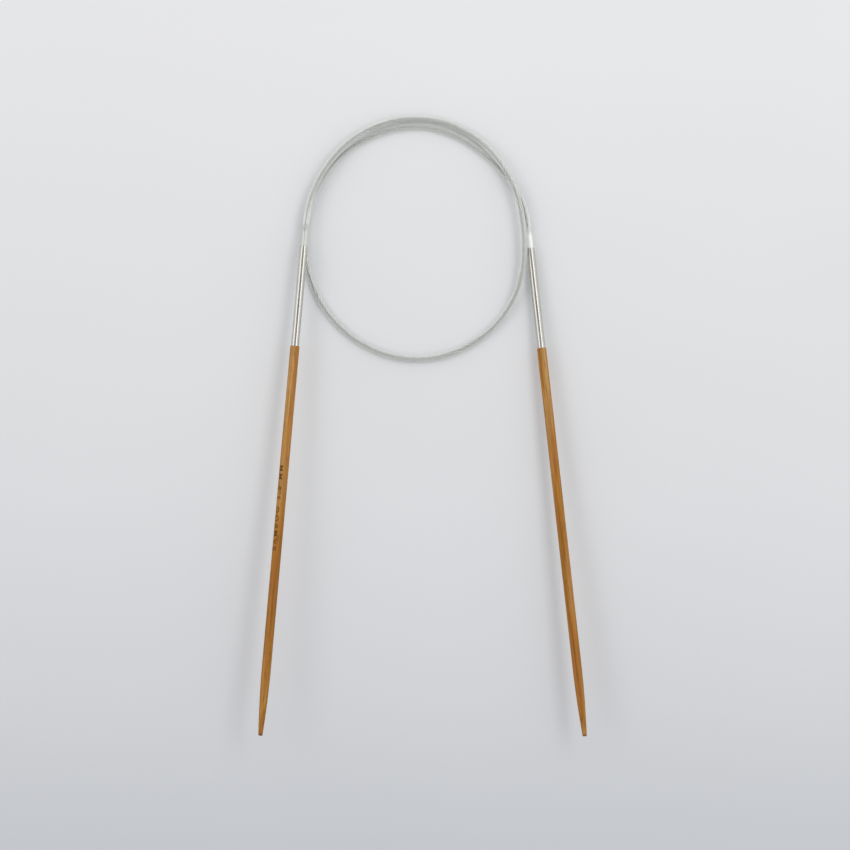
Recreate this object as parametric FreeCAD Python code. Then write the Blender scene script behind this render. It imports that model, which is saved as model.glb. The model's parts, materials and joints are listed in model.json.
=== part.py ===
"""Circular knitting needle: two bamboo needles joined by a springy, jacketed steel cable.

Lengths are in millimetres.  +Z is up.  The origin is on the table under the middle of the
two needles, +Y runs from the needle points to the cable loop and +X runs to the right
needle.  The cable lies on the table in one and a half turns.  It holds both needles clear
of the table, each rising a little towards its point.
"""
import FreeCAD, Part
import math
import os

Vector = FreeCAD.Vector

# Needle shaft: gauge 3.5 mm, a blunt, rounded point, then a taper up to the full gauge.
SHAFT_DIAMETER = 3.5
SHAFT_LENGTH = 147.0
TIP_RADIUS = 0.8
TIP_ROUNDING = 0.4
TAPER_LENGTH = 27.0
SHOULDER_ROUNDING = 0.2
TENON_LENGTH = 27.0
GLUE_GAP = 0.03

# Ferrule: a thin tube on the shaft's tenon, with its mouth rolled in.
FERRULE_DIAMETER = 3.0
FERRULE_LENGTH = 38.0
FERRULE_BORE = 2.68
LIP_BORE = 2.42
LIP_LENGTH = 0.5
LIP_ROUNDING = 0.22
FERRULE_EDGE = 0.05

# Cable: a twisted steel rope in a clear jacket.
JACKET_DIAMETER = 2.2
ROPE_DIAMETER = 1.5
SLIDING_GAP = 0.02

# Cable end: a sleeve crimped on the rope turns behind the ferrule's lip, and a clear
# collar on the rope fills the mouth and stands out of it.
SLEEVE_DIAMETER = 2.58
SLEEVE_LENGTH = 10.0
SLEEVE_TO_LIP = 0.1
SLEEVE_GROOVES = (2.6, 7.4)
GROOVE_WIDTH = 1.6
GROOVE_DEPTH = 0.12
ROPE_END_RECESS = 0.4
COLLAR_DIAMETER = 2.3
COLLAR_OUTSIDE = 8.0
COLLAR_TAPER = 1.6

# Bend point: where the cable flexes, measured along it from each collar's end.  The
# cable's two faces there are domes a little apart, so that they clear each other when the
# needle swings.
BEND_FROM_COLLAR = 8.5
DOME_GAP = 0.6

# Where each needle lies: the centre of its ferrule's mouth, its heading from the mouth to
# the point as an angle from -Y towards +X, and its rise towards the point.
NEEDLES = {
    "left": {"mouth": Vector(-44.7, 92.2, 4.9), "heading": -5.0, "rise": 3.2},
    "right": {"mouth": Vector(40.7, 91.4, 2.0), "heading": 6.3, "rise": 2.9},
}

# The cable's route on the table between the two collars: a straight exit run from each,
# and round the loop by clockwise angle in degrees from its left side, distance from its
# centre and height of the cable's centre.  It climbs over itself at the right, and passes
# under the left needle's mouth at about 360 degrees.
LOOP_CENTRE = Vector(-2.3, 95.0, 0)
EXIT_RUN = 4.5
ON_TABLE = JACKET_DIAMETER / 2
LOOP_ROUTE = [
    (24, 43.0, 4.0),
    (40.5, 44.0, 3.7),
    (59, 45.3, 2.6),
    (79, 46.1, 1.3),
    (100, 46.0, ON_TABLE),
    (119, 44.9, 1.6),
    (137, 43.3, 3.6),
    (155, 41.9, 4.1),
    (175, 40.7, 4.3),
    (194, 41.9, 4.1),
    (213, 44.0, 2.4),
    (234, 45.2, ON_TABLE),
    (256, 46.2, ON_TABLE),
    (278, 46.2, ON_TABLE),
    (300, 45.3, ON_TABLE),
    (322, 44.2, ON_TABLE),
    (343, 43.2, ON_TABLE),
    (364, 42.8, ON_TABLE),
    (385, 42.5, ON_TABLE),
    (407, 43.1, ON_TABLE),
    (429, 42.9, ON_TABLE),
    (450, 43.2, ON_TABLE),
    (469, 42.3, ON_TABLE),
    (486, 41.2, ON_TABLE),
    (501, 41.4, ON_TABLE),
    (516, 42.5, ON_TABLE),
]
ARC_SHARE = 0.45
SHORTEST_EDGE = 0.001


def away(needle):
    """Unit vector along a needle, from its point to its mouth and on along the cable."""
    heading = math.radians(needle["heading"])
    rise = math.radians(needle["rise"])
    level = math.cos(rise)
    return Vector(-math.sin(heading) * level, math.cos(heading) * level, -math.sin(rise))


def seat(shape, needle):
    """Move a shape from the needle's own frame, mouth at 0 and +Z out of it, to its place."""
    turn = FreeCAD.Rotation(Vector(0, 0, 1), away(needle))
    shape.Placement = FreeCAD.Placement(needle["mouth"], turn)
    return shape


def line(a, b):
    return Part.LineSegment(a, b).toShape()


def arc(a, b, c):
    return Part.Arc(a, b, c).toShape()


def at(radius, height):
    """A point of a turned outline, in the XZ plane."""
    return Vector(radius, 0, height)


def turned(edges):
    """Solid of revolution about Z of a closed outline in the XZ plane."""
    face = Part.Face(Part.Wire(edges))
    return face.revolve(Vector(0, 0, 0), Vector(0, 0, 1), 360)


def polygon(corners):
    return [line(a, b) for a, b in zip(corners, corners[1:] + corners[:1])]


def ring(outer, inner, low, high):
    """A plain tube about Z between two heights."""
    return turned(polygon([at(inner, low), at(outer, low), at(outer, high), at(inner, high)]))


def shaft():
    """Bamboo shaft: blunt point, long arc to the full gauge, shoulder and glued tenon."""
    radius = SHAFT_DIAMETER / 2
    tenon = FERRULE_BORE / 2 - GLUE_GAP
    shoulder = -FERRULE_LENGTH
    point = shoulder - SHAFT_LENGTH
    # The taper is an arc that touches the cylinder where the taper ends.
    start = point + TIP_ROUNDING
    end = point + TAPER_LENGTH
    rise = radius - TIP_RADIUS
    sweep = ((end - start) ** 2 + rise**2) / (2 * rise)
    middle = (end - start) / 2
    bulge = radius - sweep + math.sqrt(sweep**2 - middle**2)
    tip_soft = TIP_ROUNDING * (1 - math.sqrt(0.5))
    soft = SHOULDER_ROUNDING * (1 - math.sqrt(0.5))
    edges = [
        line(at(0, point), at(TIP_RADIUS - TIP_ROUNDING, point)),
        arc(
            at(TIP_RADIUS - TIP_ROUNDING, point),
            at(TIP_RADIUS - tip_soft, point + tip_soft),
            at(TIP_RADIUS, start),
        ),
        arc(at(TIP_RADIUS, start), at(bulge, end - middle), at(radius, end)),
        line(at(radius, end), at(radius, shoulder - SHOULDER_ROUNDING)),
        arc(
            at(radius, shoulder - SHOULDER_ROUNDING),
            at(radius - soft, shoulder - soft),
            at(radius - SHOULDER_ROUNDING, shoulder),
        ),
        line(at(radius - SHOULDER_ROUNDING, shoulder), at(tenon, shoulder)),
        line(at(tenon, shoulder), at(tenon, shoulder + TENON_LENGTH)),
        line(at(tenon, shoulder + TENON_LENGTH), at(0, shoulder + TENON_LENGTH)),
        line(at(0, shoulder + TENON_LENGTH), at(0, point)),
    ]
    return turned(edges)


def ferrule():
    """Thin metal tube with a rounded, rolled-in mouth that holds the crimped sleeve."""
    outer = FERRULE_DIAMETER / 2
    bore = FERRULE_BORE / 2
    lip = LIP_BORE / 2
    soft = LIP_ROUNDING * (1 - math.sqrt(0.5))
    edges = [
        line(at(bore, -FERRULE_LENGTH), at(outer - FERRULE_EDGE, -FERRULE_LENGTH)),
        line(at(outer - FERRULE_EDGE, -FERRULE_LENGTH), at(outer, -FERRULE_LENGTH + FERRULE_EDGE)),
        line(at(outer, -FERRULE_LENGTH + FERRULE_EDGE), at(outer, -LIP_ROUNDING)),
        arc(at(outer, -LIP_ROUNDING), at(outer - soft, -soft), at(outer - LIP_ROUNDING, 0)),
        line(at(outer - LIP_ROUNDING, 0), at(lip, 0)),
        line(at(lip, 0), at(lip, -LIP_LENGTH)),
        line(at(lip, -LIP_LENGTH), at(bore, -LIP_LENGTH)),
        line(at(bore, -LIP_LENGTH), at(bore, -FERRULE_LENGTH)),
    ]
    return turned(edges)


def crimp_sleeve():
    """Steel sleeve on the rope's end, with two crimped grooves round it."""
    front = -LIP_LENGTH - SLEEVE_TO_LIP
    outer = SLEEVE_DIAMETER / 2
    sleeve = ring(outer, ROPE_DIAMETER / 2 + SLIDING_GAP, front - SLEEVE_LENGTH, front)
    for start in SLEEVE_GROOVES:
        low = front - start - GROOVE_WIDTH / 2
        sleeve = sleeve.cut(ring(outer + 1, outer - GROOVE_DEPTH, low, low + GROOVE_WIDTH))
    return sleeve


def collar():
    """Clear collar from the sleeve's face out through the mouth, narrowing to the cable."""
    inner = ROPE_DIAMETER / 2 + SLIDING_GAP
    outer = COLLAR_DIAMETER / 2
    low = -LIP_LENGTH - SLEEVE_TO_LIP
    corners = [
        at(inner, low),
        at(outer, low),
        at(outer, COLLAR_OUTSIDE - COLLAR_TAPER),
        at(JACKET_DIAMETER / 2, COLLAR_OUTSIDE),
        at(inner, COLLAR_OUTSIDE),
    ]
    return turned(polygon(corners))


def route_points():
    """The cable's route from the left collar's end round the loop to the right one's."""
    left = NEEDLES["left"]
    right = NEEDLES["right"]
    runs = [COLLAR_OUTSIDE, COLLAR_OUTSIDE + EXIT_RUN]
    points = [left["mouth"] + away(left) * run for run in runs]
    for clockwise, distance, height in LOOP_ROUTE:
        angle = math.radians(180 - clockwise)
        flat = Vector(math.cos(angle) * distance, math.sin(angle) * distance, height)
        points.append(LOOP_CENTRE + flat)
    points += [right["mouth"] + away(right) * run for run in reversed(runs)]
    return points


def rounded_path(points):
    """Straight runs joined by tangent arcs; returns the edges and each arc's radius."""
    edges = []
    radii = []
    start = points[0]
    for before, corner, after in zip(points, points[1:], points[2:]):
        into = (corner - before).normalize()
        out = (after - corner).normalize()
        setback = ARC_SHARE * min((corner - before).Length, (after - corner).Length)
        half_turn = into.getAngle(out) / 2
        radius = setback / math.tan(half_turn)
        begin = corner - into * setback
        end = corner + out * setback
        inward = (out - into).normalize()
        middle = corner + inward * (radius / math.cos(half_turn) - radius)
        edges.append(line(start, begin))
        edges.append(arc(begin, middle, end))
        radii.append(radius)
        start = end
    edges.append(line(start, points[-1]))
    return edges, radii


def stretch(edges, low, high):
    """The edges of a path between two distances along it."""
    kept = []
    done = 0
    for edge in edges:
        begin = max(low - done, 0)
        end = min(high - done, edge.Length)
        if end - begin > SHORTEST_EDGE:
            first = edge.getParameterByLength(begin)
            last = edge.getParameterByLength(end)
            kept.append(edge.Curve.toShape(first, last))
        done += edge.Length
    return kept


def swept(edges, radius):
    """A round bar along a path."""
    first = edges[0]
    circle = Part.makeCircle(radius, first.valueAt(first.FirstParameter), first.tangentAt(first.FirstParameter))
    pipe = Part.BRepOffsetAPI.MakePipeShell(Part.Wire(edges))
    pipe.setFrenetMode(True)
    pipe.add(Part.Wire(circle))
    pipe.build()
    pipe.makeSolid()
    return pipe.shape()


def jacket(edges, dome_first, dome_last):
    """A jacket along a path, closed by a dome at the ends that face a bend point."""
    tube = swept(edges, JACKET_DIAMETER / 2)
    if dome_first:
        centre = edges[0].valueAt(edges[0].FirstParameter)
        tube = tube.fuse(Part.makeSphere(JACKET_DIAMETER / 2, centre))
    if dome_last:
        centre = edges[-1].valueAt(edges[-1].LastParameter)
        tube = tube.fuse(Part.makeSphere(JACKET_DIAMETER / 2, centre))
    return tube.cut(swept(edges, ROPE_DIAMETER / 2 + SLIDING_GAP))


def cable():
    """The cable's nodes: the loop between the bend points, and a flexing end beside each."""
    path, radii = rounded_path(route_points())
    length = sum(edge.Length for edge in path)
    near = BEND_FROM_COLLAR
    far = length - BEND_FROM_COLLAR
    dome = (DOME_GAP + JACKET_DIAMETER) / 2
    left_end = stretch(path, 0, near - dome)
    loop = stretch(path, near + dome, far - dome)
    right_end = stretch(path, far + dome, length)
    rope = swept(loop, ROPE_DIAMETER / 2)
    report_cable(path, radii, loop, rope, near, far)
    return {
        "cable_rope": rope,
        "cable_jacket": jacket(loop, True, True),
        "left_flex_rope": end_rope(NEEDLES["left"], stretch(path, 0, near - dome - SLIDING_GAP), False),
        "left_flex_jacket": jacket(left_end, False, True),
        "right_flex_rope": end_rope(NEEDLES["right"], stretch(path, far + dome + SLIDING_GAP, length), True),
        "right_flex_jacket": jacket(right_end, True, False),
    }


def end_rope(needle, edges, towards_needle):
    """A flexing end's rope: its stretch of the path and the straight run into the sleeve."""
    inside = needle["mouth"] - away(needle) * (LIP_LENGTH + SLEEVE_TO_LIP + SLEEVE_LENGTH - ROPE_END_RECESS)
    outside = needle["mouth"] + away(needle) * COLLAR_OUTSIDE
    if towards_needle:
        return swept(edges + [line(outside, inside)], ROPE_DIAMETER / 2)
    return swept([line(inside, outside)] + edges, ROPE_DIAMETER / 2)


def point_along(edges, distance):
    last = stretch(edges, 0, distance)[-1]
    return last.valueAt(last.LastParameter)


def report_cable(path, radii, loop, rope, near, far):
    print("cable bend radii:", " ".join(f"{r:.1f}" for r in radii))
    print(f"cable length from collar to collar: {sum(edge.Length for edge in path):.1f}")
    print("left bend point", point_along(path, near), "right bend point", point_along(path, far))
    section = math.pi * (ROPE_DIAMETER / 2) ** 2
    length = sum(edge.Length for edge in loop)
    print(f"loop rope volume {rope.Volume:.1f}, section times length {section * length:.1f}")


def solid_of(shape):
    """The one solid in a shape."""
    solids = shape.Solids
    if len(solids) != 1:
        raise ValueError(f"expected one solid, found {len(solids)}")
    return solids[0]


def build():
    nodes = {}
    for side, needle in NEEDLES.items():
        nodes[f"{side}_shaft"] = seat(shaft(), needle)
        nodes[f"{side}_ferrule"] = seat(ferrule(), needle)
        nodes[f"{side}_crimp_sleeve"] = seat(crimp_sleeve(), needle)
        nodes[f"{side}_collar"] = seat(collar(), needle)
    nodes.update(cable())
    os.makedirs("parts", exist_ok=True)
    for name, shape in nodes.items():
        solid_of(shape).exportStep(f"parts/{name}.step")
        print(f"{name}: {shape.Volume:.2f} mm3, valid {shape.isValid()}")
    for side, needle in NEEDLES.items():
        point = needle["mouth"] - away(needle) * (FERRULE_LENGTH + SHAFT_LENGTH)
        print(side, "mouth", needle["mouth"], "axis", away(needle), "point", point)


build()
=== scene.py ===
"""Circular knitting needle: finished surfaces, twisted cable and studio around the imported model.

Sizes are in metres, written as millimetres times MM.  Each needle has its own frame, with
its origin at the middle of the ferrule's mouth and +Z along the cable, away from the point.
"""
import json
import math

import bmesh
import bpy
import numpy as np
from mathutils import Matrix, Vector

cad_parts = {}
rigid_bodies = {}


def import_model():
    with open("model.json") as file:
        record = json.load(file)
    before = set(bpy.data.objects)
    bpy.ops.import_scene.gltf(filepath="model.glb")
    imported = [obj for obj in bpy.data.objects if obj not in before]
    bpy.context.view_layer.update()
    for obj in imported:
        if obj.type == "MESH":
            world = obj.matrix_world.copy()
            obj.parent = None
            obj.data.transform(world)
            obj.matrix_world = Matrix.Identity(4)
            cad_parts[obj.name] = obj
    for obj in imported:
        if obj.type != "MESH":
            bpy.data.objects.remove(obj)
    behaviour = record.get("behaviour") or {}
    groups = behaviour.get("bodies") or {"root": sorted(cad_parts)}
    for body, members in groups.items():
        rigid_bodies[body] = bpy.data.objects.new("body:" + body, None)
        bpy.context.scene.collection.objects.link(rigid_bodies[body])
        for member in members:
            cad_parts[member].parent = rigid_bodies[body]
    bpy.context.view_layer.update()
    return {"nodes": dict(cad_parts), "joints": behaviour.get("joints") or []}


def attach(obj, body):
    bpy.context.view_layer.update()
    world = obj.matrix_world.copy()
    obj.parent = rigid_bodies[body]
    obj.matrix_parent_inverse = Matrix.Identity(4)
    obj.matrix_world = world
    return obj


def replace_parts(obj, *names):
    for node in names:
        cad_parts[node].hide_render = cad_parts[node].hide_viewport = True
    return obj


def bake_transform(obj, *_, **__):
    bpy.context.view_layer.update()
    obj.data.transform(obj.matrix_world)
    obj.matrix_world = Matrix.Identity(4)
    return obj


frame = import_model()

MM = 0.001
SIDES = ("left", "right")

# Needle
SHAFT_RADIUS = 1.75 * MM
SHAFT_LENGTH = 147 * MM
TIP_RADIUS = 0.8 * MM
TIP_ROUNDING = 0.4 * MM
TAPER_LENGTH = 27 * MM
SHOULDER_ROUNDING = 0.2 * MM
TENON_RADIUS = 1.31 * MM
TENON_LENGTH = 27 * MM
FERRULE_RADIUS = 1.5 * MM
FERRULE_LENGTH = 38 * MM
FERRULE_BORE = 1.34 * MM
FERRULE_EDGE = 0.05 * MM
SHAFT_POINT = -FERRULE_LENGTH - SHAFT_LENGTH
LIP_BORE = 1.21 * MM
LIP_LENGTH = 0.5 * MM
LIP_ROUNDING = 0.22 * MM
ROUND_SIDES = 72
SHARP_DEGREES = 40

# Cable: a collar, a jacket and a rope of six strands twisted round a core
COLLAR_RADIUS = 1.15 * MM
COLLAR_OUTSIDE = 8 * MM
COLLAR_INSIDE = 0.6 * MM
COLLAR_TAPER = 1.6 * MM
COLLAR_BORE = 0.77 * MM
JACKET_RADIUS = 1.1 * MM
ROPE_END = 10.2 * MM
HELIX_RADIUS = 0.53 * MM
STRAND_RADIUS = 0.22 * MM
CORE_RADIUS = 0.31 * MM
JACKET_SIDES = 28
ROPE_SIDES = 10
STRANDS = 6
LAY = 7.2 * MM
BEND_FROM_COLLAR = 8.5 * MM
BEND_REACH = 8.0 * MM
BENDING_LENGTH = 17.0 * MM

# The cable's route between the collars: a straight exit run from each, and round the loop
# by clockwise angle in degrees from its left side, distance from its centre and height.
LOOP_CENTRE = Vector((-2.3, 95.0, 0.0))
EXIT_RUN = 4.5 * MM
ON_TABLE = 1.1
LOOP_ROUTE = [
    (24, 43.0, 4.0),
    (40.5, 44.0, 3.7),
    (59, 45.3, 2.6),
    (79, 46.1, 1.3),
    (100, 46.0, ON_TABLE),
    (119, 44.9, 1.6),
    (137, 43.3, 3.6),
    (155, 41.9, 4.1),
    (175, 40.7, 4.3),
    (194, 41.9, 4.1),
    (213, 44.0, 2.4),
    (234, 45.2, ON_TABLE),
    (256, 46.2, ON_TABLE),
    (278, 46.2, ON_TABLE),
    (300, 45.3, ON_TABLE),
    (322, 44.2, ON_TABLE),
    (343, 43.2, ON_TABLE),
    (364, 42.8, ON_TABLE),
    (385, 42.5, ON_TABLE),
    (407, 43.1, ON_TABLE),
    (429, 42.9, ON_TABLE),
    (450, 43.2, ON_TABLE),
    (469, 42.3, ON_TABLE),
    (486, 41.2, ON_TABLE),
    (501, 41.4, ON_TABLE),
    (516, 42.5, ON_TABLE),
]
POINTS_PER_RUN = 40
STRAIGHT_STEP = 0.35 * MM
SAME_POINT = 1e-7

# Camera and lights
VIEW_CENTRE = Vector((0.94, 24.7, 3.0)) * MM
VIEW_WIDTH = 320.5 * MM
LENS = 250
SENSOR = 36
LIGHTS_AIM = Vector((0, 25, 0)) * MM
LIGHT_LENGTH = 1.6
RIGHT_SOFTBOX = {"place": (0.70, 0.45, 1.1), "width": 0.48, "power": 4.4, "colour": (1.0, 0.985, 0.96)}
LEFT_WINDOW = {"place": (-1.26, 0.45, 1.1), "width": 0.56, "power": 3.2, "colour": (1.0, 0.99, 0.97)}
WORLD_STRENGTH = 1.30
WORLD_TINT = (0.99, 0.995, 1.0)
WORLD_BY_HEIGHT = [(0.0, 0.9), (0.80, 1.0), (0.90, 0.35), (1.0, 0.28)]
WORLD_BY_SIDE = [(0.0, 0.55), (1.0, 1.0)]
FLOOR_HALF = 3.0
PAPER_SPAN = (-150 * MM, 170 * MM)
# Painted light: the floor's colour falls off, greyer and bluer, towards the needle points, as the light
# does.
PAPER_PAINTED_FALLOFF = [
    (0.0, (0.55, 0.565, 0.60)),
    (0.10, (0.585, 0.60, 0.63)),
    (0.22, (0.64, 0.65, 0.675)),
    (0.46, (0.705, 0.715, 0.735)),
    (0.76, (0.745, 0.752, 0.765)),
    (1.0, (0.785, 0.788, 0.80)),
]

# Bamboo.  Colours here and below are linear.  A list of stops goes from a noise or a place to
# a colour, a shade that multiplies the colour, or a share of another colour.
BAMBOO_TONES = [
    (0.12, (0.235, 0.085, 0.006)),
    (0.38, (0.345, 0.150, 0.020)),
    (0.62, (0.45, 0.250, 0.080)),
]
# Painted light: the bamboo's tone is made paler on each needle's better-lit side, and darker towards the
# point as painted shade.
PAINTED_SIDE_LIGHT = 0.10
PAINTED_FALLOFF_ALONG = 0.16
LIT_SIDES = {"left": 1, "right": -1}
GRAIN_APART = 11.0
FIBRE_SHADES = [(0.3, 0.58), (0.5, 1.0), (0.7, 1.35)]
STREAK_SHARES = [(0.46, 0.0), (0.62, 0.65)]
STREAK_COLOUR = (0.37, 0.135, 0.030)
DASH_SHARES = [(0.60, 0.0), (0.72, 0.85)]
DASH_COLOUR = (0.12, 0.048, 0.012)
CHAR_LENGTH = 1.1 * MM
CHAR_SHARE = 0.8
CHAR_COLOUR = (0.06, 0.028, 0.012)

# Size mark burnt into the left shaft
MARK_WORDS = "BAMBOO 3.5 MM"
MARK_HEIGHT = 1.6 * MM
MARK_LENGTH = 32 * MM
MARK_MIDDLE = -99.3 * MM
MARK_TURN = 35
MARK_BOLDER = 0.05 * MM
MARK_RAISED = 0.012 * MM
MARK_STRIPS = 25
CAPITAL_HEIGHT = 0.7
BURN_TONES = [(0.35, (0.115, 0.048, 0.009)), (0.75, (0.19, 0.085, 0.018))]

# Metal
FERRULE_COLOUR = (0.58, 0.565, 0.525)
FERRULE_ROUGHNESS = 0.20
SLEEVE_COLOUR = (0.62, 0.62, 0.62)
SLEEVE_ROUGHNESS = 0.3
WIRE_TONES = [
    (0.0, (0.72, 0.73, 0.71)),
    (0.25, (0.82, 0.83, 0.81)),
    (0.5, (0.92, 0.93, 0.91)),
]
WIRES_ROUND = 6.0
WIRES_PER_MM = 1.6
WEAR_SHADES = [(0.3, 0.75), (0.7, 1.1)]
# Painted shade, with some grime, on each strand's sides that face its neighbours.
HOLLOW_SHADE_AND_GRIME = [(0.09, 1.0), (0.18, 0.15)]

# Clear plastic.  Shares say how milky it is when seen at each of SLANTS, 0 being face on.
# A fade says how the milkiness changes along a piece.
SLANTS = (0.0, 0.3, 0.65, 1.0)
THROUGH_TINT = (0.985, 0.99, 0.98, 1)
COLLAR_FADE = ("height", 4.5 * MM, 6.5 * MM, 1.0, 0.4)
# Both collars are the same plastic. The right one's whiter, milkier look is painted light, standing for the
# right softbox's highlight on it.
COLLAR_LOOKS_WITH_PAINTED_LIGHT = {
    "left": {
        "colour": (0.84, 0.86, 0.80),
        "shares": (0.35, 0.4, 0.6, 0.7),
        "roughness": 0.10,
        "gloss": 3.0,
    },
    # Painted highlight: whiter and milkier than the left collar.
    "right": {
        "colour": (0.97, 0.97, 0.96),
        "shares": (0.9, 0.9, 0.93, 0.95),
        "roughness": 0.2,
        "gloss": 1.8,
    },
}
JACKET_LOOK = {
    "colour": (0.93, 0.95, 0.92),
    "shares": (0.14, 0.22, 0.6, 0.7),
    "roughness": 0.12,
    "gloss": 3.5,
}
# Painted highlight: the jacket is made milkier, and so brighter, over the last stretch at each end, standing
# for the glint that runs into each collar.
GLINT_END_LENGTH = 14.0 * MM
PAINTED_GLINT_SHARE = 2.4
SHADE_SHARE = 0.45


# ---------------------------------------------------------------- frame of each needle

joints = {joint["name"]: joint for joint in frame["joints"]}


def mouth(side):
    return Vector(joints[f"{side}_swivel"]["pos_m"])


def away(side):
    """Unit vector from the needle's point to its mouth and on along the cable."""
    return -Vector(joints[f"{side}_swivel"]["axis"]).normalized()


def needle_frame(side):
    """Matrix of a needle's own frame: +Z away from the point, +Y on top."""
    z = away(side)
    x = Vector((0, 0, 1)).cross(z).normalized()
    y = z.cross(x)
    turn = Matrix((x, y, z)).transposed().to_4x4()
    return Matrix.Translation(mouth(side)) @ turn


# ---------------------------------------------------------------- camera, then the cable's line

def add_camera():
    data = bpy.data.cameras.new("camera")
    data.lens = LENS
    data.sensor_width = SENSOR
    camera = bpy.data.objects.new("camera", data)
    bpy.context.scene.collection.objects.link(camera)
    camera.location = VIEW_CENTRE + Vector((0, 0, VIEW_WIDTH * LENS / SENSOR))
    bpy.context.scene.camera = camera


def route_points():
    runs = [COLLAR_OUTSIDE, COLLAR_OUTSIDE + EXIT_RUN]
    points = [mouth("left") + away("left") * run for run in runs]
    for clockwise, distance, height in LOOP_ROUTE:
        angle = math.radians(180 - clockwise)
        flat = Vector((math.cos(angle) * distance, math.sin(angle) * distance, height))
        points.append((LOOP_CENTRE + flat) * MM)
    points += [mouth("right") + away("right") * run for run in reversed(runs)]
    return points


def smooth_line(points):
    """Points along a NURBS line that has the route's points as its control points."""
    curve = bpy.data.curves.new("cable_line", "CURVE")
    curve.dimensions = "3D"
    spline = curve.splines.new("NURBS")
    spline.points.add(len(points) - 1)
    for control, point in zip(spline.points, points):
        control.co = (*point, 1)
    spline.order_u = 3
    spline.use_endpoint_u = True
    spline.resolution_u = POINTS_PER_RUN
    holder = bpy.data.objects.new("cable_line", curve)
    mesh = bpy.data.meshes.new_from_object(holder)
    line = np.array([vertex.co for vertex in mesh.vertices])
    bpy.data.objects.remove(holder)
    bpy.data.curves.remove(curve)
    bpy.data.meshes.remove(mesh)
    return line


class Line:
    """A line of points with, at each, its distance from the first collar and two normals."""

    def __init__(self, points, before):
        steps = np.linalg.norm(np.diff(points, axis=0), axis=1)
        keep = np.r_[True, steps > SAME_POINT]
        self.points = points[keep]
        steps = np.linalg.norm(np.diff(self.points, axis=0), axis=1)
        self.along = np.r_[0, np.cumsum(steps)] - before
        self.tangents = unit(np.gradient(self.points, self.along, axis=0))
        self.normals = self.carried_normals()
        self.binormals = np.cross(self.tangents, self.normals)

    def carried_normals(self):
        """Normals carried along the line without twisting."""
        normal = np.array([0.0, 0.0, 1.0])
        found = []
        for tangent in self.tangents:
            normal = normal - tangent * normal.dot(tangent)
            normal = normal / np.linalg.norm(normal)
            found.append(normal)
        return np.array(found)

    def between(self, low, high):
        """Indices of the points from low to high, both counted."""
        first = np.abs(self.along - low).argmin()
        last = np.abs(self.along - high).argmin()
        return slice(first, last + 1)

    def at(self, distance):
        return Vector([np.interp(distance, self.along, self.points[:, k]) for k in range(3)])


def unit(vectors):
    return vectors / np.linalg.norm(vectors, axis=1)[:, None]


def whole_cable():
    """The cable's line from inside one ferrule to inside the other."""
    outside = smooth_line(route_points())
    inside = COLLAR_OUTSIDE + ROPE_END
    straight = np.linspace(0, 1, int(inside / STRAIGHT_STEP), endpoint=False)
    ends = {side: np.array(mouth(side) - away(side) * ROPE_END) for side in SIDES}
    left = ends["left"] + straight[:, None] * (outside[0] - ends["left"])
    right = ends["right"] + straight[::-1, None] * (outside[-1] - ends["right"])
    return Line(np.vstack([left, outside, right]), inside)


add_camera()
cable = whole_cable()
cable_length = cable.along[-1] - COLLAR_OUTSIDE - ROPE_END


# ---------------------------------------------------------------- mesh building

def add_mesh(name, vertices, faces, uvs=None):
    """A smooth-shaded object; uvs gives one (u, v) for each corner of each face."""
    mesh = bpy.data.meshes.new(name)
    mesh.from_pydata([tuple(v) for v in vertices], [], faces)
    if uvs is not None:
        layer = mesh.uv_layers.new(name="along")
        layer.data.foreach_set("uv", np.array(uvs, dtype=np.float32).ravel())
    mesh.shade_smooth()
    mesh.set_sharp_from_angle(angle=math.radians(SHARP_DEGREES))
    obj = bpy.data.objects.new(name, mesh)
    bpy.context.scene.collection.objects.link(obj)
    return obj


def tube(name, rings, along):
    """An open tube through rings of points; U runs once round it and V is millimetres along."""
    count, sides = rings.shape[:2]
    faces = []
    uvs = []
    for i in range(count - 1):
        low, high = along[i] / MM, along[i + 1] / MM
        ring, next_ring = i * sides, (i + 1) * sides
        for k in range(sides):
            following = (k + 1) % sides
            faces.append((ring + k, ring + following, next_ring + following, next_ring + k))
            start, end = k / sides, (k + 1) / sides
            uvs += [(start, low), (end, low), (end, high), (start, high)]
    return add_mesh(name, rings.reshape(-1, 3), faces, uvs)


def rings_round(centres, first, second, radius, sides):
    """Rings of points round centres, in the planes of two unit vectors at each."""
    angles = np.arange(sides) * 2 * math.pi / sides
    cos = np.cos(angles)[None, :, None]
    sin = np.sin(angles)[None, :, None]
    return centres[:, None, :] + radius * (cos * first[:, None, :] + sin * second[:, None, :])


def cable_tube(name, part, radius, sides):
    """A tube round that part of the cable's line."""
    rings = rings_round(cable.points[part], cable.normals[part], cable.binormals[part], radius, sides)
    return tube(name, rings, cable.along[part])


def strand_rings(part, number):
    """The rings of one strand, twisted round the cable's line."""
    phase = 2 * math.pi * (number / STRANDS + cable.along / LAY)
    outward = np.cos(phase)[:, None] * cable.normals + np.sin(phase)[:, None] * cable.binormals
    centres = cable.points + HELIX_RADIUS * outward
    tangents = unit(np.gradient(centres, cable.along, axis=0))
    sideways = unit(np.cross(tangents, outward))
    return rings_round(centres[part], outward[part], sideways[part], STRAND_RADIUS, ROPE_SIDES)


def joined(pieces, name):
    """Several pieces made into the first of them, under a new name."""
    with bpy.context.temp_override(active_object=pieces[0], selected_editable_objects=pieces):
        bpy.ops.object.join()
    pieces[0].name = name
    return pieces[0]


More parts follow.
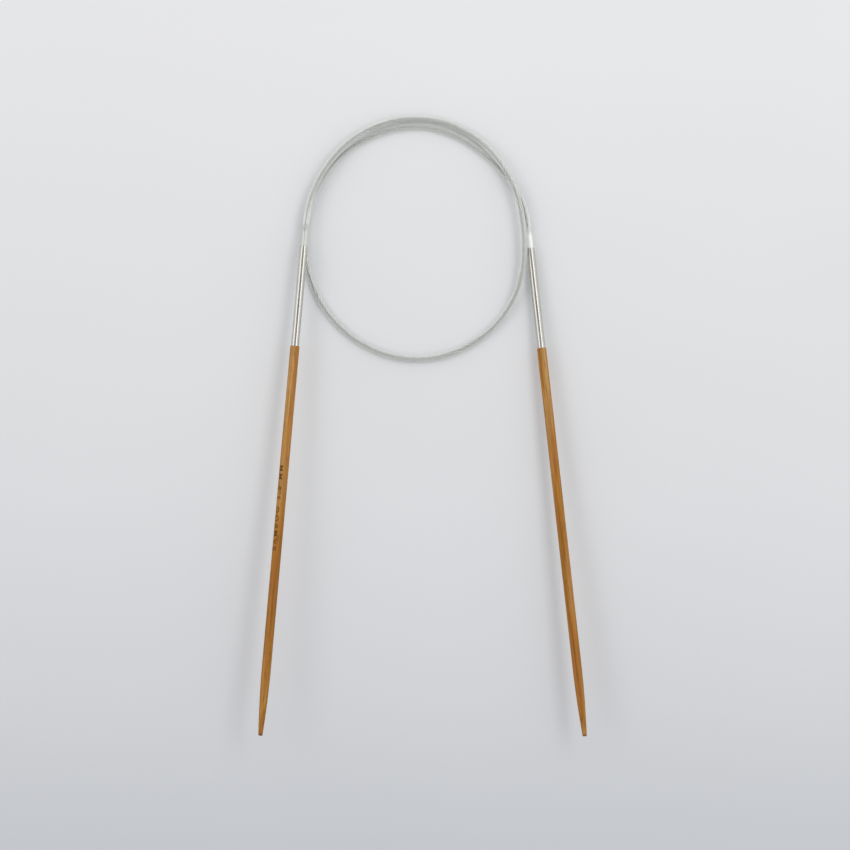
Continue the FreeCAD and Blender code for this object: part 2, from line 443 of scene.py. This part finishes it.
def revolved(name, side, outline, closed):
    """A turned piece in its needle's frame.

    The outline is (radius, height) from one end to the other.  A closed one goes round the wall
    of a tube; an open one is a solid bar, which gets a flat face at each end.
    """
    count = len(outline)
    vertices = []
    for radius, height in outline:
        for k in range(ROUND_SIDES):
            angle = 2 * math.pi * k / ROUND_SIDES
            vertices.append((radius * math.cos(angle), radius * math.sin(angle), height))
    faces = []
    for i in range(count if closed else count - 1):
        for k in range(ROUND_SIDES):
            following = (k + 1) % ROUND_SIDES
            upper = (i + 1) % count
            faces.append((
                i * ROUND_SIDES + k,
                i * ROUND_SIDES + following,
                upper * ROUND_SIDES + following,
                upper * ROUND_SIDES + k,
            ))
    if not closed:
        faces.append(tuple(reversed(range(ROUND_SIDES))))
        faces.append(tuple((count - 1) * ROUND_SIDES + k for k in range(ROUND_SIDES)))
    obj = add_mesh(name, vertices, faces)
    obj.matrix_world = needle_frame(side)
    return obj


def quarter(radius, height, size, start, end, steps=5):
    """Points of an arc of that size round (radius, height) between two angles in degrees."""
    angles = np.radians(np.linspace(start, end, steps))
    return [(radius + size * math.cos(a), height + size * math.sin(a)) for a in angles]


# ---------------------------------------------------------------- materials

def new_material(name):
    material = bpy.data.materials.new(name)
    material.use_nodes = True
    return material, material.node_tree, material.node_tree.nodes["Principled BSDF"]


def add(tree, kind, inputs=None, **settings):
    """A node with its settings and inputs; an input is a value or another node's output."""
    made = tree.nodes.new(kind)
    for key, value in settings.items():
        setattr(made, key, value)
    for key, value in (inputs or {}).items():
        if isinstance(value, bpy.types.NodeSocket):
            tree.links.new(value, made.inputs[key])
        else:
            made.inputs[key].default_value = value
    return made


def grain(tree, across, along, detail=3.0, roughness=0.5, offset=0.0):
    """Noise in the piece's own frame, with features across and along (metres) of that size."""
    place = add(tree, "ShaderNodeTexCoord").outputs["Object"]
    fitting = {"Vector": place, "Scale": (1 / across, 1 / across, 1 / along), "Location": (offset,) * 3}
    mapping = add(tree, "ShaderNodeMapping", fitting)
    inputs = {"Vector": mapping.outputs[0], "Scale": 1.0, "Detail": detail, "Roughness": roughness}
    return add(tree, "ShaderNodeTexNoise", inputs).outputs["Fac"]


def ramp(tree, value, stops):
    """Colour or grey by value; stops are (place, grey or (r, g, b))."""
    made = add(tree, "ShaderNodeValToRGB", {"Fac": value})
    elements = made.color_ramp.elements
    while len(elements) < len(stops):
        elements.new(0.5)
    for element, (place, colour) in zip(elements, stops):
        element.position = place
        rgb = colour if isinstance(colour, tuple) else (colour,) * 3
        element.color = (*rgb, 1)
    return made.outputs["Color"]


def mixed(tree, factor, first, second, blend="MIX"):
    """Two colours mixed; each is a colour or a socket."""
    made = add(tree, "ShaderNodeMix", data_type="RGBA", blend_type=blend)
    factor_input, *_, first_input, second_input = made.inputs[:8]
    for socket, value in ((factor_input, factor), (first_input, first), (second_input, second)):
        if isinstance(value, bpy.types.NodeSocket):
            tree.links.new(value, socket)
        elif isinstance(value, tuple):
            socket.default_value = (*value, 1)
        else:
            socket.default_value = value
    return made.outputs[2]


def computed(tree, operation, *values):
    """The result of a Math node; each value is a number or a socket."""
    return add(tree, "ShaderNodeMath", dict(enumerate(values)), operation=operation).outputs[0]


def ranged(tree, value, start, end, from_result, to_result):
    """A value's span from start to end, stretched to another span and held at its ends."""
    span = {"Value": value, 1: start, 2: end, 3: from_result, 4: to_result}
    return add(tree, "ShaderNodeMapRange", span).outputs[0]


def axis_of(tree, place, axis):
    """One of a vector's three numbers."""
    return add(tree, "ShaderNodeSeparateXYZ", {"Vector": place}).outputs[axis]


def bumped(tree, shader, height, strength, distance):
    bump = add(tree, "ShaderNodeBump", {"Height": height, "Strength": strength, "Distance": distance})
    tree.links.new(bump.outputs["Normal"], shader.inputs["Normal"])


def bamboo(name, offset, lit_side):
    """Carbonised bamboo: fine fibres, red streaks and dark dashes, with a charred point.

    Painted light: it is paler on the side a lamp lights more, 1 for +X and -1 for -X, and paler towards the
    ferrule, with painted shade darkening it towards the point.
    """
    material, tree, shader = new_material(name)
    place = add(tree, "ShaderNodeTexCoord").outputs["Object"]
    across, height = axis_of(tree, place, "X"), axis_of(tree, place, "Z")
    tone = grain(tree, 2.2 * MM, 40 * MM, 2, 0.5, offset)
    # Painted light: paler on the better-lit side, and painted shade darkening it towards the point.
    tone = computed(tree, "MULTIPLY_ADD", across, PAINTED_SIDE_LIGHT * lit_side / SHAFT_RADIUS, tone)
    tone = computed(tree, "MULTIPLY_ADD", height, PAINTED_FALLOFF_ALONG / SHAFT_LENGTH, tone)
    colour = ramp(tree, tone, BAMBOO_TONES)
    fibres = grain(tree, 0.40 * MM, 16 * MM, 3, 0.6, offset + 3)
    colour = mixed(tree, 0.8, colour, ramp(tree, fibres, FIBRE_SHADES), "MULTIPLY")
    streaks = grain(tree, 0.8 * MM, 30 * MM, 2, 0.5, offset + 5)
    colour = mixed(tree, ramp(tree, streaks, STREAK_SHARES), colour, STREAK_COLOUR)
    dashes = grain(tree, 0.3 * MM, 6 * MM, 2, 0.5, offset + 7)
    colour = mixed(tree, ramp(tree, dashes, DASH_SHARES), colour, DASH_COLOUR)
    charred = ranged(tree, height, SHAFT_POINT, SHAFT_POINT + CHAR_LENGTH, CHAR_SHARE, 0.0)
    colour = mixed(tree, charred, colour, CHAR_COLOUR)
    tree.links.new(colour, shader.inputs["Base Color"])
    tree.links.new(ramp(tree, fibres, [(0.3, 0.55), (0.7, 0.42)]), shader.inputs["Roughness"])
    shader.inputs["Coat Weight"].default_value = 0.06
    shader.inputs["Coat Roughness"].default_value = 0.35
    shader.inputs["Specular IOR Level"].default_value = 0.14
    bumped(tree, shader, fibres, 0.35, 0.03 * MM)
    return material


def polished_metal(name, colour, roughness):
    """Drawn metal tube: polished, with faint lines along it and small spots of haze."""
    material, tree, shader = new_material(name)
    lines = grain(tree, 0.12 * MM, 20 * MM, 3, 0.6)
    haze = grain(tree, 1.2 * MM, 4 * MM, 2, 0.5, 5)
    shade = ramp(tree, haze, [(0.3, tuple(c * 0.93 for c in colour)), (0.7, colour)])
    tree.links.new(shade, shader.inputs["Base Color"])
    shader.inputs["Metallic"].default_value = 1.0
    hazy = ramp(tree, haze, [(0.3, roughness), (0.75, roughness * 1.6)])
    tree.links.new(hazy, shader.inputs["Roughness"])
    bumped(tree, shader, lines, 0.12, 0.01 * MM)
    return material


def rope_metal(name):
    """Steel strand: fine wires wound round it, and painted shade with some grime in the hollows between it
    and the next strand.
    """
    material, tree, shader = new_material(name)
    uv = add(tree, "ShaderNodeUVMap", uv_map="along").outputs["UV"]
    round_it, along = axis_of(tree, uv, "X"), axis_of(tree, uv, "Y")
    wires = computed(tree, "MULTIPLY", round_it, WIRES_ROUND)
    wires = computed(tree, "MULTIPLY_ADD", along, WIRES_PER_MM, wires)
    wave = computed(tree, "PINGPONG", wires, 0.5)
    wear = grain(tree, 0.8 * MM, 0.8 * MM, 3, 0.6)
    colour = ramp(tree, wave, WIRE_TONES)
    colour = mixed(tree, 0.4, colour, ramp(tree, wear, WEAR_SHADES), "MULTIPLY")
    # Painted shade, with some grime, in the hollows between strands.
    inward = computed(tree, "PINGPONG", round_it, 0.5)
    colour = mixed(tree, 1.0, colour, ramp(tree, inward, HOLLOW_SHADE_AND_GRIME), "MULTIPLY")
    tree.links.new(colour, shader.inputs["Base Color"])
    shader.inputs["Metallic"].default_value = 0.7
    tree.links.new(ramp(tree, wear, [(0.3, 0.17), (0.7, 0.24)]), shader.inputs["Roughness"])
    bumped(tree, shader, wave, 0.15, 0.03 * MM)
    return material


def clear_plastic(name, colour, shares, roughness, gloss, fade=None):
    """Clear soft plastic with a glossy skin, milky by shares that go with SLANTS.

    A fade is (coordinate, start, end, share at start, share at end).  Its coordinate is a
    collar's own height or the millimetres along the cable.  The plastic shades other pieces by
    only SHADE_SHARE of its milkiness, because light passes through it.
    """
    material, tree, shader = new_material(name)
    uneven = grain(tree, 0.9 * MM, 0.9 * MM, 2, 0.5)
    shade = ramp(tree, uneven, [(0.3, tuple(c * 0.94 for c in colour)), (0.7, colour)])
    tree.links.new(shade, shader.inputs["Base Color"])
    blurred = ramp(tree, uneven, [(0.3, roughness * 0.7), (0.7, roughness * 1.3)])
    tree.links.new(blurred, shader.inputs["Roughness"])
    shader.inputs["IOR"].default_value = gloss
    bumped(tree, shader, uneven, 0.08, 0.05 * MM)
    through = add(tree, "ShaderNodeBsdfTransparent", {"Color": THROUGH_TINT})
    facing = add(tree, "ShaderNodeLayerWeight", {"Blend": 0.5}).outputs["Facing"]
    share = ramp(tree, facing, list(zip(SLANTS, shares)))
    if fade:
        coordinate, *span = fade
        if coordinate == "height":
            along = axis_of(tree, add(tree, "ShaderNodeTexCoord").outputs["Object"], "Z")
        else:
            along = axis_of(tree, add(tree, "ShaderNodeUVMap", uv_map="along").outputs["UV"], "Y")
        share = computed(tree, "MULTIPLY", share, ranged(tree, along, *span))
    seen = add(tree, "ShaderNodeLightPath").outputs["Is Camera Ray"]
    share = computed(tree, "MULTIPLY", share, ranged(tree, seen, 0.0, 1.0, SHADE_SHARE, 1.0))
    mix = add(tree, "ShaderNodeMixShader", {0: share, 1: through.outputs[0], 2: shader.outputs[0]})
    tree.links.new(mix.outputs[0], tree.nodes["Material Output"].inputs["Surface"])
    return material


def ink(name):
    """Size mark burnt into the bamboo."""
    material, tree, shader = new_material(name)
    burn = grain(tree, 0.15 * MM, 0.4 * MM, 2, 0.6)
    tree.links.new(ramp(tree, burn, BURN_TONES), shader.inputs["Base Color"])
    tree.links.new(ramp(tree, burn, [(0.3, 0.55), (0.7, 0.8)]), shader.inputs["Roughness"])
    shader.inputs["Specular IOR Level"].default_value = 0.1
    return material


def paper(name):
    """Matt white studio paper with painted light fall-off: a little greyer and bluer towards the needle
    points.
    """
    material, tree, shader = new_material(name)
    place = add(tree, "ShaderNodeTexCoord").outputs["Object"]
    fleck = add(tree, "ShaderNodeTexNoise", {"Vector": place, "Scale": 9.0, "Detail": 2.0}).outputs["Fac"]
    away_from_points = ranged(tree, axis_of(tree, place, "Y"), *PAPER_SPAN, 0.0, 1.0)
    # Painted light fall-off across the floor.
    colour = ramp(tree, away_from_points, PAPER_PAINTED_FALLOFF)
    colour = mixed(tree, 0.5, colour, ramp(tree, fleck, [(0.3, 0.985), (0.7, 1.015)]), "MULTIPLY")
    tree.links.new(colour, shader.inputs["Base Color"])
    shader.inputs["Roughness"].default_value = 0.7
    shader.inputs["Specular IOR Level"].default_value = 0.2
    return material


def dress(obj, material, body):
    """Gives a piece its material and its body."""
    obj.data.materials.clear()
    obj.data.materials.append(material)
    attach(obj, body)
    return obj


# ---------------------------------------------------------------- needles

def shaft_outline():
    """From the blunt point up the taper's long arc to the shoulder and the tenon."""
    shoulder = -FERRULE_LENGTH
    point = SHAFT_POINT
    length = TAPER_LENGTH - TIP_ROUNDING
    rise = SHAFT_RADIUS - TIP_RADIUS
    sweep = (length**2 + rise**2) / (2 * rise)
    lean = math.degrees(math.asin(length / sweep))
    blunt = quarter(TIP_RADIUS - TIP_ROUNDING, point + TIP_ROUNDING, TIP_ROUNDING, -90, 0, 8)
    taper = quarter(SHAFT_RADIUS - sweep, point + TAPER_LENGTH, sweep, -lean, 0, 28)
    top = shoulder - SHOULDER_ROUNDING
    rod = [(SHAFT_RADIUS, z) for z in np.linspace(point + TAPER_LENGTH, top, 60)[1:-1]]
    edge = quarter(SHAFT_RADIUS - SHOULDER_ROUNDING, top, SHOULDER_ROUNDING, 0, 90)
    tenon = [(TENON_RADIUS, shoulder), (TENON_RADIUS, shoulder + TENON_LENGTH)]
    return blunt + taper[1:] + rod + edge + tenon


def ferrule_outline():
    """Round the wall of the tube: outside, the rolled-in mouth, and back down the bore."""
    mouth_arc = quarter(FERRULE_RADIUS - LIP_ROUNDING, -LIP_ROUNDING, LIP_ROUNDING, 0, 90, 7)
    heights = np.linspace(-FERRULE_LENGTH + FERRULE_EDGE, -LIP_ROUNDING, 30)[:-1]
    rod = [(FERRULE_RADIUS, z) for z in heights]
    edge = [(FERRULE_BORE, -FERRULE_LENGTH), (FERRULE_RADIUS - FERRULE_EDGE, -FERRULE_LENGTH)]
    inside = [(LIP_BORE, 0), (LIP_BORE, -LIP_LENGTH), (FERRULE_BORE, -LIP_LENGTH)]
    return edge + rod + mouth_arc + inside


def collar_outline():
    """Round the wall of the collar, which narrows to the jacket's size at its outer end."""
    heights = np.linspace(-COLLAR_INSIDE, COLLAR_OUTSIDE - COLLAR_TAPER, 10)
    outside = [(COLLAR_RADIUS, z) for z in heights]
    halfway = (COLLAR_RADIUS - 0.02 * MM, COLLAR_OUTSIDE - COLLAR_TAPER / 2)
    taper = [halfway, (JACKET_RADIUS, COLLAR_OUTSIDE)]
    bore = [(COLLAR_BORE, COLLAR_OUTSIDE), (COLLAR_BORE, -COLLAR_INSIDE)]
    return outside + taper + bore


def size_mark(side, material):
    """MARK_WORDS along the shaft, reading towards the ferrule, wrapped round its surface."""
    text = bpy.data.curves.new("size_mark_text", "FONT")
    text.body = MARK_WORDS
    text.size = MARK_HEIGHT / CAPITAL_HEIGHT
    text.space_character = 1.5
    text.offset = MARK_BOLDER
    text.align_x = "CENTER"
    text.align_y = "CENTER"
    text.extrude = MARK_RAISED
    text.resolution_u = 3
    holder = bpy.data.objects.new("size_mark_text", text)
    mesh = bpy.data.meshes.new_from_object(holder)
    bpy.data.objects.remove(holder)
    form = bmesh.new()
    form.from_mesh(mesh)
    for cut in np.linspace(-MARK_HEIGHT, MARK_HEIGHT, MARK_STRIPS):
        everything = form.verts[:] + form.edges[:] + form.faces[:]
        bmesh.ops.bisect_plane(form, geom=everything, plane_co=(0, cut, 0), plane_no=(0, 1, 0))
    reach = [vertex.co.x for vertex in form.verts]
    stretch = MARK_LENGTH / (max(reach) - min(reach))
    for vertex in form.verts:
        along, up, out = vertex.co
        angle = math.radians(MARK_TURN) + up / SHAFT_RADIUS
        radius = SHAFT_RADIUS + out
        height = MARK_MIDDLE + along * stretch
        vertex.co = (radius * math.sin(angle), radius * math.cos(angle), height)
    form.to_mesh(mesh)
    form.free()
    obj = bpy.data.objects.new(f"{side}_size_mark", mesh)
    bpy.context.scene.collection.objects.link(obj)
    obj.matrix_world = needle_frame(side)
    return dress(obj, material, f"{side}_needle")


ferrule_metal = polished_metal("ferrule_metal", FERRULE_COLOUR, FERRULE_ROUGHNESS)
sleeve_metal = polished_metal("sleeve_metal", SLEEVE_COLOUR, SLEEVE_ROUGHNESS)
collar_plastics = {
    side: clear_plastic(f"{side}_collar_plastic", **look, fade=COLLAR_FADE)
    for side, look in COLLAR_LOOKS_WITH_PAINTED_LIGHT.items()
}
far_start = cable_length - GLINT_END_LENGTH
# Painted highlight: milkier, brighter jacket towards each collar.
jacket_fades = {
    "left": ("along", 0.0, GLINT_END_LENGTH / MM, PAINTED_GLINT_SHARE, 1.0),
    "loop": None,
    "right": ("along", far_start / MM, cable_length / MM, 1.0, PAINTED_GLINT_SHARE),
}
jacket_plastics = {
    stretch: clear_plastic(f"{stretch}_jacket_plastic", **JACKET_LOOK, fade=fade)
    for stretch, fade in jacket_fades.items()
}
strand_metal = rope_metal("strand_metal")
for number, side in enumerate(SIDES):
    wood = bamboo(f"{side}_bamboo", number * GRAIN_APART, LIT_SIDES[side])
    shaft = revolved(f"{side}_bamboo_shaft", side, shaft_outline(), False)
    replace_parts(dress(shaft, wood, f"{side}_needle"), f"{side}_shaft")
    ferrule = revolved(f"{side}_polished_ferrule", side, ferrule_outline(), True)
    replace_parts(dress(ferrule, ferrule_metal, f"{side}_needle"), f"{side}_ferrule")
    collar = revolved(f"{side}_clear_collar", side, collar_outline(), True)
    plastic = collar_plastics[side]
    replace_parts(dress(collar, plastic, f"{side}_cable_end"), f"{side}_collar")
    sleeve = frame["nodes"][f"{side}_crimp_sleeve"]
    sleeve.data.materials.clear()
    sleeve.data.materials.append(sleeve_metal)
size_mark("left", ink("burnt_mark"))


# ---------------------------------------------------------------- cable

def cable_stretches():
    """The cable's three stretches: name, points of the jacket, points of the rope."""
    far = cable_length - BENDING_LENGTH
    inside = COLLAR_OUTSIDE + ROPE_END
    return {
        "left": (cable.between(0, BENDING_LENGTH), cable.between(-inside, BENDING_LENGTH)),
        "loop": (cable.between(BENDING_LENGTH, far),) * 2,
        "right": (cable.between(far, cable_length), cable.between(far, cable_length + inside)),
    }


def finish_cable_piece(obj, stretch, material):
    """The loop's pieces ride on it; the ends' pieces only have their placing baked into their meshes."""
    obj.data.materials.append(material)
    if stretch == "loop":
        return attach(obj, "cable_loop")
    low, high = BEND_FROM_COLLAR - BEND_REACH, BEND_FROM_COLLAR + BEND_REACH
    if stretch == "right":
        low, high = cable_length - low, cable_length - high
    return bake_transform(obj, "cable_loop", f"{stretch}_cable_end", start=cable.at(high), end=cable.at(low))


cable_pieces = []
for stretch, (jacket_part, rope_part) in cable_stretches().items():
    jacket = cable_tube(f"{stretch}_clear_jacket", jacket_part, JACKET_RADIUS, JACKET_SIDES)
    finish_cable_piece(jacket, stretch, jacket_plastics[stretch])
    core = cable_tube(f"{stretch}_rope_core", rope_part, CORE_RADIUS, ROPE_SIDES)
    finish_cable_piece(core, stretch, strand_metal)
    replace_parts(jacket, "cable_jacket" if stretch == "loop" else f"{stretch}_flex_jacket")
    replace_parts(core, "cable_rope" if stretch == "loop" else f"{stretch}_flex_rope")
    cable_pieces.append(core)
    strands = [
        tube(f"{stretch}_rope_strand_{k + 1}", strand_rings(rope_part, k), cable.along[rope_part])
        for k in range(STRANDS)
    ]
    if stretch != "loop":
        strands = [joined(strands, f"{stretch}_rope_strands")]
    for strand in strands:
        cable_pieces.append(finish_cable_piece(strand, stretch, strand_metal))
    if stretch == "loop":
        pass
    else:
        cable_pieces.append(jacket)
cable_pieces += [bpy.data.objects[f"{side}_clear_collar"] for side in SIDES]
cable.at(0)


# ---------------------------------------------------------------- studio

def area_light(name, place, width, power, colour):
    """A soft light with its long side along Y, facing LIGHTS_AIM; place is counted from there."""
    data = bpy.data.lights.new(name, "AREA")
    data.shape = "RECTANGLE"
    data.size = width
    data.size_y = LIGHT_LENGTH
    data.energy = power
    data.color = colour
    light = bpy.data.objects.new(name, data)
    bpy.context.scene.collection.objects.link(light)
    z = Vector(place).normalized()
    x = Vector((0, 1, 0)).cross(z).normalized()
    turn = Matrix((x, z.cross(x), z)).transposed().to_4x4()
    light.matrix_world = Matrix.Translation(LIGHTS_AIM + Vector(place)) @ turn


def add_floor():
    corners = [(x * FLOOR_HALF, y * FLOOR_HALF, 0) for x, y in ((-1, -1), (1, -1), (1, 1), (-1, 1))]
    floor = add_mesh("floor", corners, [(0, 1, 2, 3)])
    floor.data.materials.append(paper("floor_paper"))


def add_world():
    """Soft light from all round, dimmer straight above, where the camera hangs, and brighter from +Y."""
    world = bpy.data.worlds.new("studio")
    world.use_nodes = True
    tree = world.node_tree
    way = add(tree, "ShaderNodeTexCoord").outputs["Generated"]
    stops = [(place, tuple(c * shade for c in WORLD_TINT)) for place, shade in WORLD_BY_HEIGHT]
    colour = ramp(tree, axis_of(tree, way, "Z"), stops)
    forward = computed(tree, "MULTIPLY_ADD", axis_of(tree, way, "Y"), 0.5, 0.5)
    colour = mixed(tree, 1.0, colour, ramp(tree, forward, WORLD_BY_SIDE), "MULTIPLY")
    background = tree.nodes["Background"]
    tree.links.new(colour, background.inputs["Color"])
    background.inputs["Strength"].default_value = WORLD_STRENGTH
    bpy.context.scene.world = world


add_floor()
add_world()
area_light("right_softbox", **RIGHT_SOFTBOX)
area_light("left_window", **LEFT_WINDOW)
bpy.context.scene.view_settings.view_transform = "Standard"
